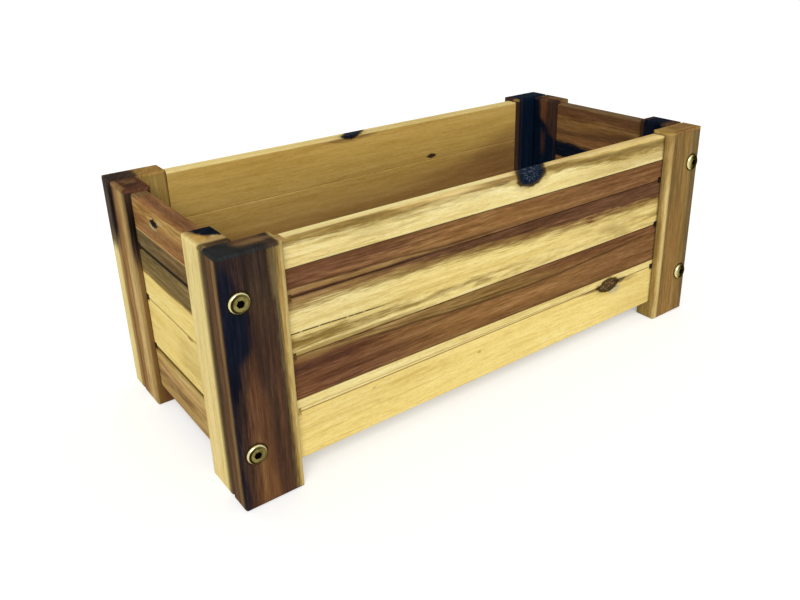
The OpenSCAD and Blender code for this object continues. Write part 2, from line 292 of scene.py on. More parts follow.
class Wood(Graph):
    """Solid wood in a piece's own millimetres: u along the grain, v across its face, and w into it.

    axes gives u, v and w, each as (name, place of its zero in metres, direction). reach is the length
    of the piece along the grain."""

    def __init__(self, name, axes, reach, seed, tone="cream", contrast=1.0, joints=(), knots=()):
        super().__init__(bpy.data.materials.new(f"{name}_wood"))
        self.reach = reach
        self.joints = joints
        self.knots = knots
        self.tones = {}
        self.grain_axis = axes[0][0]
        where = self.add("ShaderNodeTexCoord", {})
        places = self.split(where.outputs["Object"])
        self.facing = where.outputs["Normal"]
        self.u, self.v, self.w = (self.measure(places, *axis) for axis in axes)
        self.offset = self.seed_place(seed)
        self.knot_shares = [self.knot_distance(knot) for knot in knots]
        self.grow(contrast)
        self.colour = self.tone(tone)

    def measure(self, places, axis, zero, direction):
        scale = direction / MM
        return self.scaled(places[axis], scale, -zero * scale)

    def seed_place(self, seed):
        """Each board past a joint line is other wood, so it reads the noise at another place."""
        offset = seed * SEED_STEP
        for joint in self.joints:
            past_it = self.calc("GREATER_THAN", self.v, joint)
            offset = self.plus(offset, self.times(past_it, BOARD_STEP))
        return offset

    def sample(self, u, v, w, size, detail=2.0, roughness=0.5):
        along = self.scaled(u, 1 / size[0], self.offset)
        across = self.times(v, 1 / size[1])
        inwards = self.times(w, 1 / size[2])
        return self.noise(self.vector(along, across, inwards), detail, roughness)

    def knot_distance(self, knot):
        """The distance from a knot's middle, where 1 is its rim, drawn out along the grain."""
        across = self.minus(self.u, self.scaled(self.w, knot.lean, knot.u))
        down = self.minus(self.v, knot.v)
        along_share = self.calc("POWER", self.size_of(self.times(across, 1 / knot.half_u)), knot.power)
        down_share = self.calc("POWER", self.size_of(self.times(down, 1 / knot.half_v)), knot.power)
        distance = self.calc("POWER", self.plus(along_share, down_share), 1 / knot.power)
        cloud_size = (knot.half_u * 0.5, knot.half_v * 0.5, KNOT_CLOUD_DEPTH)
        wobble = self.sample(self.u, self.v, self.w, cloud_size, 3.0)
        return self.plus(distance, self.scaled(wobble, knot.wobble, -knot.wobble / 2))

    def grow(self, contrast):
        """The noise fields of the grain, bent round the knots and laid along curved year rings."""
        wave = self.sample(self.u, self.v, self.w, WAVE_SIZE, 1.0)
        across = self.scaled(wave, WAVE_HEIGHT, self.v)
        for knot, distance in zip(self.knots, self.knot_shares):
            near = self.ramp(distance, 0.0, KNOT_REACH, KNOT_PULL, 0.0)
            across = self.minus(across, self.times(self.minus(self.v, knot.v), near))
        cosine = math.cos(RING_LEAN)
        sine = math.sin(RING_LEAN)
        ring = self.plus(self.times(across, cosine), self.times(self.w, sine))
        round_ring = self.minus(self.times(self.w, cosine), self.times(across, sine))
        bow = self.plus(round_ring, RING_MIDDLE)
        ring = self.plus(ring, self.times(self.times(bow, bow), RING_CURVE))
        self.grain = {}
        self.shade = MIDDLE_SHADE
        for name, (size, detail, roughness, weight) in GRAIN.items():
            field = self.sample(self.u, ring, round_ring, size, detail, roughness)
            self.grain[name] = field
            if weight:
                pull = weight * contrast
                self.shade = self.plus(self.shade, self.scaled(field, pull, -pull / 2))
        feather = self.plus(self.plus(self.grain["streak"], self.grain["fibre"]), self.grain["cloud"])
        self.feather = self.scaled(feather, 1.0, -1.5)

    def tone(self, name):
        """The wood in one of the tones. Each tone is made once."""
        if name not in self.tones:
            shades = (DARK_SHADE, MIDDLE_SHADE, LIGHT_SHADE)
            stops = [(shade, linear(colour)) for shade, colour in zip(shades, TONES[name])]
            self.tones[name] = self.colours(self.shade, stops)
        return self.tones[name]

    def path(self, points):
        """A height across the grain: one number, or a smooth line through (u, height) points."""
        if isinstance(points, (int, float)):
            return float(points)
        stops = []
        for place, value in points:
            grey = value / PATH_SPAN + 0.5
            stops.append((min(max(place / self.reach, 0.0), 1.0), (grey, grey, grey, 1.0)))
        curve = self.colours(self.times(self.u, 1 / self.reach), stops, "EASE")
        return self.scaled(curve, PATH_SPAN, -PATH_SPAN / 2)

    def inside(self, value, low, high, soft):
        """1 between the two ends and 0 outside them, with soft edges. An end of None is left open."""
        shares = []
        if low is not None:
            shares.append(self.ramp(self.minus(value, self.path(low)), -soft / 2, soft / 2))
        if high is not None:
            shares.append(self.ramp(self.minus(self.path(high), value), -soft / 2, soft / 2))
        if not shares:
            return 1.0
        return shares[0] if len(shares) == 1 else self.least(*shares)

    def zone(self, tone, v=ALL, soft=1.0, ragged=0.0, u=ALL, w=ALL, clouded=0.0, mix=1.0):
        """Wood of another tone between the ends in v, u and w, mixed in by a share.

        The third value of u or w is how soft its ends are, as soft is for v. ragged feathers the edges
        with the grain, and clouded breaks the zone up into clouds."""
        across = self.v
        if ragged:
            across = self.scaled(self.feather, ragged * 2, across)
        share = self.inside(across, *v, soft)
        if clouded:
            share = self.times(share, self.ramp(self.grain["cloud"], *CLOUD_EDGES, 1 - clouded, 1.0))
        if u != ALL:
            start, end, fade = with_soft(u, ZONE_FADE)
            along = self.scaled(self.feather, fade * FEATHER_ALONG, self.u)
            share = self.times(share, self.inside(along, start, end, fade))
        if w != ALL:
            share = self.times(share, self.inside(self.w, *with_soft(w, DEPTH_FADE)))
        if mix != 1.0:
            share = self.times(share, mix)
        self.lay(share, self.tone(tone))

    def top(self, tone, depth, v=ALL, soft=1.0, ragged=0.0, **options):
        """A zone on the top end of a stile, and a small depth down its sides."""
        self.zone(tone, v, soft, ragged, to(depth, TOP_FADE), **options)

    def blot(self, tone, place, size, soft=0.5, ragged=0.0, mix=1.0):
        """An egg-shaped stain. place and size are its middle and half sizes along u, v and w."""
        offsets = []
        for axis, middle, half in zip((self.u, self.v, self.w), place, size):
            offsets.append(self.times(self.minus(axis, middle), 1 / half))
        distance = self.length(*offsets)
        if ragged:
            distance = self.scaled(self.feather, ragged, distance)
        share = self.ramp(distance, 1 - soft / 2, 1 + soft / 2, mix, 0.0)
        self.lay(share, self.tone(tone))

    def line(self, points, width, colour=DARK_LINE, u=ALL, dashes=0.0, soft=0.5, mix=1.0):
        """A thin line along the grain. dashes is the length of its stronger and weaker stretches."""
        away = self.size_of(self.minus(self.v, self.path(points)))
        share = self.ramp(away, width / 2, width / 2 + soft, mix, 0.0)
        if dashes:
            along = self.scaled(self.u, 1 / dashes, self.offset)
            stretches = self.noise(self.vector(along, 0.0, 0.0), 1.0)
            share = self.times(share, self.ramp(stretches, *DASH_EDGES, DASH_LEAST, 1.0))
        if u != ALL:
            share = self.times(share, self.inside(self.u, *with_soft(u, LINE_FADE)))
        self.lay(share, colour)

    def lay_knots(self):
        """A feathered halo, a dark rim and a core with pale flecks for each knot."""
        for knot, distance in zip(self.knots, self.knot_shares):
            halo = self.ramp(distance, *HALO_EDGES, knot.halo, 0.0)
            self.lay(halo, self.tone("olive"))
            rim = self.ramp(distance, *RIM_EDGES, RIM_STRENGTH, 0.0)
            self.lay(rim, KNOT_RIM)
            speckle = self.sample(self.u, self.v, self.w, SPECKLE_SIZE)
            specks = self.ramp(speckle, *FLECK_EDGES)
            near = self.ramp(distance, *FLECKED_EDGES, knot.flecks, 0.0)
            core = self.blend(self.times(specks, near), self.tone(knot.tone), linear(knot.fleck))
            share = self.ramp(distance, knot.core - CORE_EDGE, knot.core, 1.0, 0.0)
            self.lay(share, core)

    def disc(self, place, radius, soft, colour, mix):
        """A round shadow at (u, v) that goes right through the wood."""
        distance = self.length(self.minus(self.u, place[0]), self.minus(self.v, place[1]))
        share = self.ramp(distance, radius, radius + soft, mix, 0.0)
        self.lay(share, colour)

    def notches(self, u, w=to(NOTCH_DEPTH)):
        """Painted shade inside the nipped corners of the boards, where each joint line meets a stile."""
        near_joint = 0.0
        for joint in self.joints:
            away = self.size_of(self.minus(self.v, joint))
            here = self.ramp(away, NOTCH_HALF_HEIGHT - NOTCH_SOFT, NOTCH_HALF_HEIGHT, 1.0, 0.0)
            near_joint = self.most(near_joint, here)
        share = self.least(self.inside(self.u, *u, NOTCH_SOFT), self.inside(self.w, *w, NOTCH_SOFT))
        self.lay(self.times(near_joint, share), NOTCH_SHADE)

    def done(self, roughness=0.46):
        """Lays the knots, the pores and the darker end grain, and makes the shader."""
        self.lay_knots()
        streak = self.grain["streak"]
        pores = self.ramp(self.grain["hair"], *PORE_EDGES)
        self.darken(self.times(pores, PORE_SHARE), PORE_TINT)
        facing = self.split(self.facing)[self.grain_axis]
        end_grain = self.ramp(self.size_of(facing), *END_GRAIN_EDGES)
        self.darken(end_grain, END_GRAIN_TINT)
        gloss = self.scaled(streak, GLOSS_CHANGE, roughness - GLOSS_CHANGE / 2)
        gloss = self.scaled(end_grain, END_GRAIN_ROUGHNESS, gloss)
        height = self.scaled(self.grain["fibre"], 0.5, self.times(streak, 0.5))
        height = self.minus(height, self.times(pores, PORE_DEPTH))
        return self.finish(gloss, height, GRAIN_DEPTH * MM, **{"Specular IOR Level": WOOD_GLOSS})


BOARD_NUMBERS = (1, 2, 3, 4)
SLAT_NUMBERS = (1, 2, 3, 4, 5, 6)

# Boxes of pieces that give the places of the others
LONG_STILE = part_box("front_left_stile")
FAR_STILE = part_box("front_right_stile")
END_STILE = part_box("left_back_stile")
LONG_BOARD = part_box("front_board_1")

# Panels and stiles: where they start in metres, and their sizes in millimetres
STILE_INNER_LEFT = LONG_STILE[1].x
PANEL_TOP = LONG_BOARD[1].z
STILE_TOP = LONG_STILE[1].z
END_INNER_BACK = END_STILE[0].y
PANEL_LENGTH = (FAR_STILE[0].x - STILE_INNER_LEFT) / MM
END_LENGTH = (END_INNER_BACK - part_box("left_front_stile")[1].y) / MM
STILE_HEIGHT = STILE_TOP / MM
BOARDS_BESIDE = [(STILE_TOP - height) / MM for height in (PANEL_TOP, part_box("front_board_4")[0].z)]
LONG_STILE_WIDTH = (LONG_STILE[1].x - LONG_STILE[0].x) / MM
END_STILE_WIDTH = (END_STILE[1].y - END_STILE[0].y) / MM

# How far the panels' outer faces lie behind the stiles', and how thick the boards are
LONG_SINK = (LONG_BOARD[0].y - LONG_STILE[0].y) / MM
END_SINK = (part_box("left_board_1")[0].x - END_STILE[0].x) / MM
BOARD_THICKNESS = (LONG_BOARD[1].y - LONG_BOARD[0].y) / MM
NOTCHES_INSIDE = past(BOARD_THICKNESS - NOTCH_DEPTH)

# Axes of the bolts, in millimetres in the frame
BOLT_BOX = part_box("corner_bolts")
HEAD_RADIUS = 7.5
BOLT_RIGHT = BOLT_BOX[1].x / MM - HEAD_RADIUS
BOLT_LOW = BOLT_BOX[0].z / MM + HEAD_RADIUS
BOLT_HIGH = BOLT_BOX[1].z / MM - HEAD_RADIUS
BOLT_INSET = FAR_STILE[1].x / MM - BOLT_RIGHT
BOLT_LEVELS = (STILE_HEIGHT - BOLT_HIGH, STILE_HEIGHT - BOLT_LOW)
BOLT_SHADOW = 1.8
FOOT_DARK = 1.5


def axis_of(name, way):
    """An axis for Wood. "+X" starts at a piece's lowest X and grows, "-X" at its highest and falls."""
    direction = 1 if way[0] == "+" else -1
    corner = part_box(name)[0 if direction == 1 else 1]
    return way[1], getattr(corner, way[1].lower()), direction


def panel(side, seed, tone="cream", contrast=1.0, knots=()):
    """Wood for the four boards of a side: u runs between its stiles, and v down from its top."""
    if side in ("front", "back"):
        along, reach, inwards = ("X", STILE_INNER_LEFT, 1), PANEL_LENGTH, "+Y"
    else:
        along, reach, inwards = ("Y", END_INNER_BACK, -1), END_LENGTH, "+X"
    axes = (along, ("Z", PANEL_TOP, -1), axis_of(f"{side}_board_1", inwards))
    feet = [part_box(f"{side}_board_{number}")[0].z for number in BOARD_NUMBERS[:-1]]
    joints = [(PANEL_TOP - foot) / MM for foot in feet]
    return Wood(f"{side}_panel", axes, reach, seed, tone, contrast, joints, knots)


def shade_bolts(wood, from_edge):
    """The shadows round the two bolt heads on a stile."""
    for level in BOLT_LEVELS:
        wood.disc((level, from_edge), HEAD_RADIUS, BOLT_SHADOW, CONTACT_DARK, 0.8)


def shade_groove(wood, v, sink):
    """Painted shade in the groove where the boards enter a stile."""
    wood.zone("umber", v, 0.5, u=(*BOARDS_BESIDE, 0.8), w=past(sink - 0.4, 0.8))


def brown_strip(wood, v, redder_from, mix):
    wood.zone("russet", v, 0.5)
    wood.zone("brown", v, 0.5, u=past(80, 110))
    wood.zone("russet", v, 0.5, u=past(redder_from, 110), mix=mix)


def front_panel():
    """Cream sapwood with two broad brown strips, glued at crisp lines, and two knots."""
    knots = [
        Knot(224, 1.8, 15.5, 9.2, 0.8, "navy", 0.45, 0.36, 2.0, halo=0.5, fleck=(122, 126, 134)),
        Knot(330.5, 131, 15, 6.4, 0, "speckled", 1, 0.6, 1.5, 0.82, 0.4, (168, 146, 106)),
    ]
    wood = panel("front", 3, knots=knots)
    joint_1, joint_2, joint_3 = wood.joints
    # Board 2, dark below the first joint: it is laid before board 1, so that it reaches the joint
    wood.zone("yellow", (46, 84), 8, 5, u=past(90, 90), mix=0.6)
    wood.zone("olive", to([(0, 52), (60, 52), (120, 54), (300, 63), (396, 65)]), 9, 3.5, mix=0.8)
    wood.zone("brown", to([(0, 48.5), (60, 48.5), (130, 51), (225, 56), (300, 60), (396, 62)]), 7, 3,
              mix=0.8)
    wood.zone("purple", to([(0, 43), (90, 44.5), (150, 47.5), (225, 51.5), (300, 55.5), (396, 58)]), 3.5,
              2.2, u=past(60, 70), mix=0.88)
    # Board 1: cream with olive streaks along its top, then the first brown strip
    top_of_brown = [(0, 20.7), (396, 22.6)]
    wood.zone("cream", to(top_of_brown), 0.5)
    wood.zone("pale", (8, 24), 6, 4, u=(60, 290, 90), mix=0.95)
    wood.zone("pale", (6, 14), 5, 4, u=(10, 60, 30), mix=0.4)
    wood.zone("peach", (11, 19), 8, 3, mix=0.3)
    wood.zone("olive", ([(0, -3), (60, 2), (200, 3)], [(0, 6), (60, 9), (120, 9.5), (200, 7)]), 6, 4,
              u=(20, 205), clouded=0.9, mix=0.6)
    wood.zone("olive", (8, 16), 6, 6, u=(55, 112, 24), clouded=1, mix=0.36)
    wood.zone("olive", to(4.8), 3, 2, u=to(115, 60))
    wood.zone("moss", to(3.4), 2, 2, u=to(90, 50), clouded=0.9, mix=0.5)
    wood.zone("olive",
              ([(240, -2), (300, 0.5), (396, 2)], [(236, 3.5), (262, 6), (300, 9), (330, 11), (396, 11)]),
              4.5, 2.5, u=past(238, 14))
    wood.zone("golden", (9, 15), 5, 3, u=past(325, 30), mix=0.45)
    wood.zone("moss", ([(250, 1), (396, 5)], [(250, 3), (396, 8)]), 3, 2, u=past(262), mix=0.4)
    wood.zone("olive", (15, 20), 5, 3, u=past(300, 90), mix=0.35)
    wood.zone("tan", (0.6, 2.6), 1.4, 0.8, u=(60, 212, 40), mix=0.6)
    wood.zone("brown", (1.8, 3.2), 1.4, 0.8, u=(150, 205, 30), mix=0.75)
    wood.zone("umber", (2.2, 4), 1.5, 0.8, u=(186, 200, 8), mix=0.8)
    brown_strip(wood, (top_of_brown, joint_1), 290, 0.5)
    wood.zone("orange", (23, [(0, 36), (396, 39)]), 4, 3, u=(110, 250, 80), mix=0.35)
    wood.zone("purple", (22.5, [(0, 33), (160, 29)]), 6, 4, u=to(130, 80), mix=0.55)
    wood.zone("tan", ([(0, 35.5), (150, 39)], [(0, 39.5), (150, 41)]), 1.8, 1.2, u=to(120, 60), mix=0.7)
    wood.zone("umber", ([(0, 40), (60, 40.6)], joint_1), 1.2, 1.0, u=to(150, 90), mix=0.7)
    wood.line([(0, 34.8), (60, 36), (150, 39.4), (396, 41)], 0.8, u=to(190, 80), soft=1, mix=0.55)
    wood.line(top_of_brown, 0.4, mix=0.8)
    wood.line(joint_1, 0.7, BLACK_LINE, mix=0.5)
    # The rest of board 2: a knot's trace, a fine check and olive clouds
    wood.blot("russet", (298, 58.5, 0), (5, 3.2, 6), 0.8, 0.8, mix=0.9)
    wood.zone("golden", (58, 76), 8, 6, u=past(285, 60), clouded=0.7, mix=0.4)
    wood.zone("golden", (75, joint_2), 6, 5, u=(170, 330, 60), clouded=0.9, mix=0.4)
    wood.zone("olive", (73, 81), 3, 2.5, u=to(52, 40))
    wood.zone("olive", ([(0, 71.5), (60, 72.5), (200, 76)], [(0, 82), (180, 82)]), 4, 4, u=to(215, 70),
              clouded=1, mix=0.95)
    wood.zone("olive", (73, 85), 5, 4, u=past(318, 60), clouded=0.9, mix=0.6)
    wood.zone("olive", (82.5, joint_2), 2.5, 1.5, u=to(110, 70), mix=0.85)
    wood.line([(0, 68.4), (95, 70.6), (396, 76)], 0.6, BLACK_LINE, u=to(82, 40), dashes=4.6, mix=0.85)
    # Board 3: the second brown strip, with dark lines that sink through it, and cream below
    foot_of_brown = [(0, 119.9), (396, 122.7)]
    brown_strip(wood, (joint_2, foot_of_brown), 310, 0.3)
    wood.zone("orange", (100, 117), 6, 4, u=(130, 290, 80), mix=0.3)
    wood.zone("purple", (92, 104), 6, 4, u=to(60, 50), mix=0.85)
    wood.zone("purple", (104, 118), 7, 5, u=(10, 100, 60), mix=0.5)
    wood.zone("ink", (95, 99), 3, 2, u=to(16, 10), mix=0.3)
    sinking = [(3, 88), (39, 90.6), (100, 93.4), (147, 96.6), (171, 98.2), (224, 99.4), (263, 99),
               (316, 96.6), (368, 94.4)]
    upper_line = [(0, 85.8), (60, 88), (110, 91), (160, 94.5), (230, 96)]
    wood.zone("olive", (joint_2, sinking), 2, 1.5, u=(8, 240, 60), mix=0.45)
    wood.zone("tan", (joint_2, [(0, 90.5), (100, 92), (200, 90)]), 3, 2.5, u=to(110, 60), mix=0.5)
    wood.zone("russet", (joint_2, 93), 3, 1.5, u=past(220, 90), mix=0.7)
    wood.line(upper_line, 0.6, u=(30, 240, 60), soft=0.9, mix=0.4)
    wood.line(sinking, 0.9, u=(40, 370, 90), soft=1.4, mix=0.62)
    wood.line(joint_2, 0.5, mix=0.6)
    wood.zone("yellow", past(foot_of_brown), 0.5)
    wood.line(foot_of_brown, 0.5, mix=0.75)
    # Board 4: yellow, with a knot on its joint line
    wood.zone("cream", ([(0, 120.4), (396, 123.2)], joint_3), 0.6, mix=0.8)
    wood.zone("golden", (132, 152), 10, 6, u=to(130, 80), mix=0.14)
    wood.zone("golden", past(132), 10, 6, u=past(345, 60), mix=0.16)
    wood.line([(0, 127.4), (396, 129)], 0.4, OLIVE_LINE, u=to(290, 60), mix=0.4)
    wood.line(joint_3, 0.6, OLIVE_LINE, mix=0.75)
    wood.blot("brown", (171, 143.5, 0), (2.2, 1.2, 4), 0.9, 0.6, mix=0.4)
    wood.blot("brown", (66, 135.5, 0), (2, 0.8, 4), 0.9, 0.6, mix=0.4)
    wood.blot("brown", (316, 130.8, 0), (22, 1.9, 9), 0.9, 0.5, mix=0.75)
    wood.blot("olive", (356, 132, 0), (18, 1.8, 9), 0.9, 0.5, mix=0.6)
    wood.blot("grey", (341, 138.5, 0), (8, 4.2, 9), 0.8, 0.6, mix=0.75)
    wood.blot("umber", (346, 130.6, 0), (9, 2.2, 9), 0.9, 0.6, mix=0.85)
    # The top face, where the glued strip is peach with warmer arrises
    wood.zone("peach", to(1.6), 0.8, w=past(1.2, 1.0), mix=0.92)
    wood.zone("honey", to(1.4), w=to(2.2, 1.6), mix=0.25)
    wood.zone("honey", to(1.4), w=past(BOARD_THICKNESS - 2.6, 2.0), mix=0.5)
    wood.zone("pale", to(1.4), u=to(190, 50), w=past(6, 3), mix=0.95)
    wood.zone("golden", to(1.4), u=past(250, 50), w=past(7, 4), mix=0.4)
    wood.zone("olive", to(3), 3, 0.8, u=(6, 86, 14), w=to(4, 2.5), mix=0.9)
    wood.zone("olive", to(3), 3, 0.8, u=(168, 282, 26), w=to(4, 2.5), mix=0.9)
    wood.zone("brown", to(2), 2, 0.8, u=(176, 262, 20), w=to(2.5, 2), mix=0.4)
    # Painted light in the near nipped corners, painted shade in the far ones and along the far end
    wood.zone("tan", to(100), u=to(NOTCH_LENGTH + 0.2, 0.5), w=past(0.8, 0.5))
    wood.zone("pale", past(100), u=to(NOTCH_LENGTH + 0.2, 0.5), w=past(0.8, 0.5))
    wood.notches(past(PANEL_LENGTH - NOTCH_LENGTH))
    wood.zone("umber", u=past(PANEL_LENGTH - 1.8, 2.4), mix=0.6)
    return wood.done()


def back_panel():
    """Golden olive boards that turn redder to the right and downwards, with two dark knots."""
    knots = [
        Knot(180, -1.2, 12, 4.6, lean=0.9, flecks=0.15),
        Knot(277, 38, 5.6, 2.2, tone="umber", flecks=0.1),
    ]
    wood = panel("back", 11, "golden", 0.55, knots)
    wood.zone("olive", (14, 42), 14, 8, mix=0.35)
    wood.zone("honey", to(38), 60, 4, mix=0.52)
    wood.zone("brown", ([(0, 74), (200, 66), (396, 44)], 100), 26, 9, mix=0.62)
    wood.zone("russet", ([(300, 60), (396, 26)], 110), 18, 6, u=past(320, 90), mix=0.35)
    wood.blot("brown", (181, 0, 0), (34, 4.5, 8), 0.8, 0.6, mix=0.8)
    wood.zone("yellow", to(60), 4, w=past(9, 5), mix=0.85)
    wood.zone("brown", (86, 118), 2, 1.5, mix=0.8)
    wood.zone("cream", (118, 130), 1, 1)
    wood.zone("golden", past(130), 0.5)
    wood.zone("cream", to(1.4), 1.2, mix=0.75)
    wood.zone("golden", to(1.4), 1.2, u=past(200, 90), mix=0.3)
    wood.line(wood.joints[0], 0.6, (226, 190, 118), soft=0.4, mix=0.16)
    # Painted shade in the nipped corners at both ends
    wood.notches(to(NOTCH_LENGTH), NOTCHES_INSIDE)
    wood.notches(past(PANEL_LENGTH - NOTCH_LENGTH), NOTCHES_INSIDE)
    return wood.done()


def left_panel():
    """An orange-brown top board, a grey-olive band, light yellow boards and a streaked lower board."""
    knots = [Knot(44, 11.5, 8.5, 3.2, 0.6, "soot", 1.3, flecks=0, power=1.2, halo=0.3)]
    wood = panel("left", 23, "orange", knots=knots)
    joint_1, joint_2, joint_3 = wood.joints
    wood.zone("russet", (14, 25), 5, 5, mix=0.5)
    wood.zone("brown", (2, 10), 6, 5, mix=0.5)
    wood.zone("tan", (4, 22), 5, 6, clouded=1, mix=0.5)
    wood.zone("honey", (2, 12), 4, 3, clouded=0.8, mix=0.28)
    wood.blot("grey", (56, 8, 0), (5, 1.6, 5), 0.9, 0.9, mix=0.4)
    wood.blot("grey", (41, 15, 0), (7, 2, 5), 0.9, 0.9, mix=0.45)
    wood.zone("russet", to(1.6), 1.2, mix=0.6)
    wood.zone("purple", to(1.6), 1.2, w=(4, 9, 4), mix=0.5)
    wood.zone("moss", to(1.6), 1.2, u=to(12, 10), mix=0.6)
    wood.zone("moss", (27.4, 64), 1.2, 0.6)
    wood.line(26.6, 0.8, (192, 156, 100), soft=0.8, mix=0.8)
    wood.zone("olive", (44, 60), 8, 5, mix=0.3)
    wood.zone("brown", (29, 40), 5, 3, u=past(40, 40), mix=0.35)
    wood.zone("yellow", (63, joint_3 - 1), 2, 0.8)
    wood.zone("olive", (60.5, 64), 2, 1, mix=0.8)
    wood.zone("olive", (92, 122), 10, 6, u=past(60, 24), mix=0.25)
    wood.blot("brown", (86.5, joint_2 + 1.5, 0), (5, 1.1, 4), 0.9, 0.5, mix=0.7)
    wood.zone("golden", past(joint_3 - 1), 0.8)
    wood.zone("orange", (139, 147), 3, 2.5, mix=0.8)
    wood.zone("russet", (149, 158), 4, 3, u=to(80, 60), mix=0.85)
    wood.zone("tan", past(160), 3, 2, mix=0.7)
    wood.zone("peach", (132, 160), 10, 7, clouded=0.8, mix=0.32)
    wood.line(joint_1, 2.0, BLACK_LINE, soft=1.1, mix=0.88)
    wood.line(joint_2, 0.7, OLIVE_LINE, soft=0.8, mix=0.65)
    wood.line(joint_3, 1.9, (94, 70, 24), soft=1.4, mix=0.85)
    # Painted shade in the nipped corners at the far end
    wood.notches(to(NOTCH_LENGTH))
    return wood.done()


def right_panel():
    """Olive-brown boards with dark streaks that slope along the grain."""
    wood = panel("right", 31, "brown", 0.75)
    wood.zone("olive", ([(0, 8), (110, 2)], [(0, 26), (110, 18)]), 8, 5, mix=0.2)
    wood.zone("russet", to(12), 10, 5, mix=0.6)
    wood.zone("umber", to(12), 10, 6, mix=0.3)
    wood.zone("umber", ([(0, 27), (110, 18)], [(0, 33), (110, 26)]), 5, 4, mix=0.45)
    wood.zone("ink", ([(0, 40), (110, 44)], [(0, 60), (110, 50)]), 5, 4, u=to(60, 40))
    wood.zone("brown", (58, 96), 5, 3)
    wood.zone("cream", (96, 128), 1.5, 1)
    wood.zone("russet", past(128), 1, 0.5)
    wood.zone("cream", past(150), 4, 3)
    wood.zone("moss", to(1.6), 1.2, mix=0.5)
    # Painted shade in the nipped corners at both ends
    wood.notches(to(NOTCH_LENGTH), NOTCHES_INSIDE)
    wood.notches(past(END_LENGTH - NOTCH_LENGTH), NOTCHES_INSIDE)
    return wood.done()


def front_left_stile(wood):
    """Dark heartwood with a blue-black patch, a warm flame below it and a pale sapwood edge."""
    # The front face
    wood.zone("moss", (18, 34), 8, 3, u=to(50, 40), mix=0.12)
    wood.zone("russet", ([(0, 27), (190, 32)], [(0, 36), (190, 38)]), 7, 3, u=past(80, 60), mix=0.25)
    wood.zone("russet",
              ([(60, 19), (80, 14), (110, 10), (190, 8)], [(60, 19), (80, 19), (120, 26), (190, 29)]), 8,
              3, u=past(70, 60), mix=0.5)
    wood.zone("orange", ([(120, 14), (190, 14)], [(120, 15), (150, 21), (190, 27)]), 6, 3, u=past(140, 40),
              mix=0.28)
    wood.zone("ink", to(34), 10, 3, u=to(30, 40), mix=0.35)
    wood.zone("ink", to([(0, 8), (30, 10), (45, 18), (64, 18), (82, 9), (110, 3.5), (190, 2.5)]), 9, 2.5,
              u=past(6, 22), mix=0.9)
    wood.zone("navy", to([(30, 4), (45, 15), (64, 14), (80, 4)]), 9, 2.5, u=(30, 84, 22), mix=0.25)
    # The side face, as far as the end stile
    wood.zone("umber", to(44), 3, 1, w=past(2.5, 3))
    # Painted highlight along the rounded front arris
    wood.zone("tan", to(5), 2, 0.5, w=(3.3, 8.2, 2.4), mix=0.45)
    wood.zone("brown", to(30), 3, 1, w=(8.6, 16, 3), mix=0.5)
    # Painted shade in the groove against the end stile
    wood.zone("moss", to(30), 3, 1, w=past(16, 3), mix=0.3)
    wood.zone("umber", to(30), 3, 1, w=past(17, 4), mix=0.65)
    # Sapwood beside the panel
    wood.zone("moss", past([(0, 34), (60, 37.5), (190, 39.5)]), 4, 1.5, mix=0.85)
    wood.zone("golden", past([(0, 39.5), (50, 40), (100, 40.5), (190, 41)]), 3.5, 1.2)
    wood.zone("cream", past([(0, 43.5), (40, 43), (100, 42.5), (190, 43.5)]), 2.5, 0.8, mix=0.6)
    wood.zone("moss", (34, 42), 4, 1.5, u=to(20, 36), mix=0.6)
    wood.zone("olive", past(42), 4, 1.5, u=to(14, 30), mix=0.4)
    # Shadows round the bolts and at the foot
    shade_bolts(wood, BOLT_INSET)
    wood.zone("ink", u=past(STILE_HEIGHT - FOOT_DARK, FOOT_DARK), mix=0.7)
    # The top face
    wood.top("umber", 2.5, to(43), 3)
    wood.blot("russet", (0, 28, 15), (3, 11, 7), 1.0, 0.6, mix=0.6)
    wood.top("ink", 2.5, to([(0, 17), (190, 17)]), 8, 2)
    wood.top("ink", 2.5, to(34), 8, 1, w=to(6, 5), mix=0.9)
    wood.blot("ink", (0, 41, 20), (3, 4, 4), 0.8, mix=0.6)
    wood.top("grey", 2.5, to(43), 3, mix=0.035)
    wood.blot("peach", (0, 31, 12), (3, 12, 3), 1.0, 0.5, mix=0.12)


def front_right_stile(wood):
    """Olive-brown wood with soft stripes, and a painted highlight along its edge on the panel side."""
    wood.zone("olive", (7, 40), 8, 4, mix=0.5)
    wood.zone("orange", (14, 26), 8, 4, u=past(70, 80), mix=0.25)
    wood.zone("moss", past([(0, 32), (190, 39)]), 5, 2, mix=0.8)
    wood.zone("moss", (5, 9), 4, 2, mix=0.35)
    wood.zone("olive", to(5.5), 3.5, 1, mix=0.9)
    # Painted highlight along the rounded arris on the panel side
    wood.zone("tan", (1.2, 5), 2.5, 0.6, u=past(6), w=to(4), mix=0.8)
    wood.zone("cream", (1.3, 4.8), 2.5, 0.6, u=past(34, 40), w=to(4), mix=0.48)
    wood.zone("moss", (8, 22), 8, 4, u=to(80, 60), mix=0.3)
    shade_bolts(wood, LONG_STILE_WIDTH - BOLT_INSET)
    # The top face
    wood.top("golden", 2.2, to(47), 3, mix=0.8)
    wood.top("brown", 2.2, (14, 44), 8, 3, w=(6, 18, 5), mix=0.75)
    wood.top("russet", 2.6, (8, 40), 8, 2, w=to(4, 3), mix=0.6)
    # Painted shade in the groove where the boards enter the stile
    shade_groove(wood, to(1), LONG_SINK)


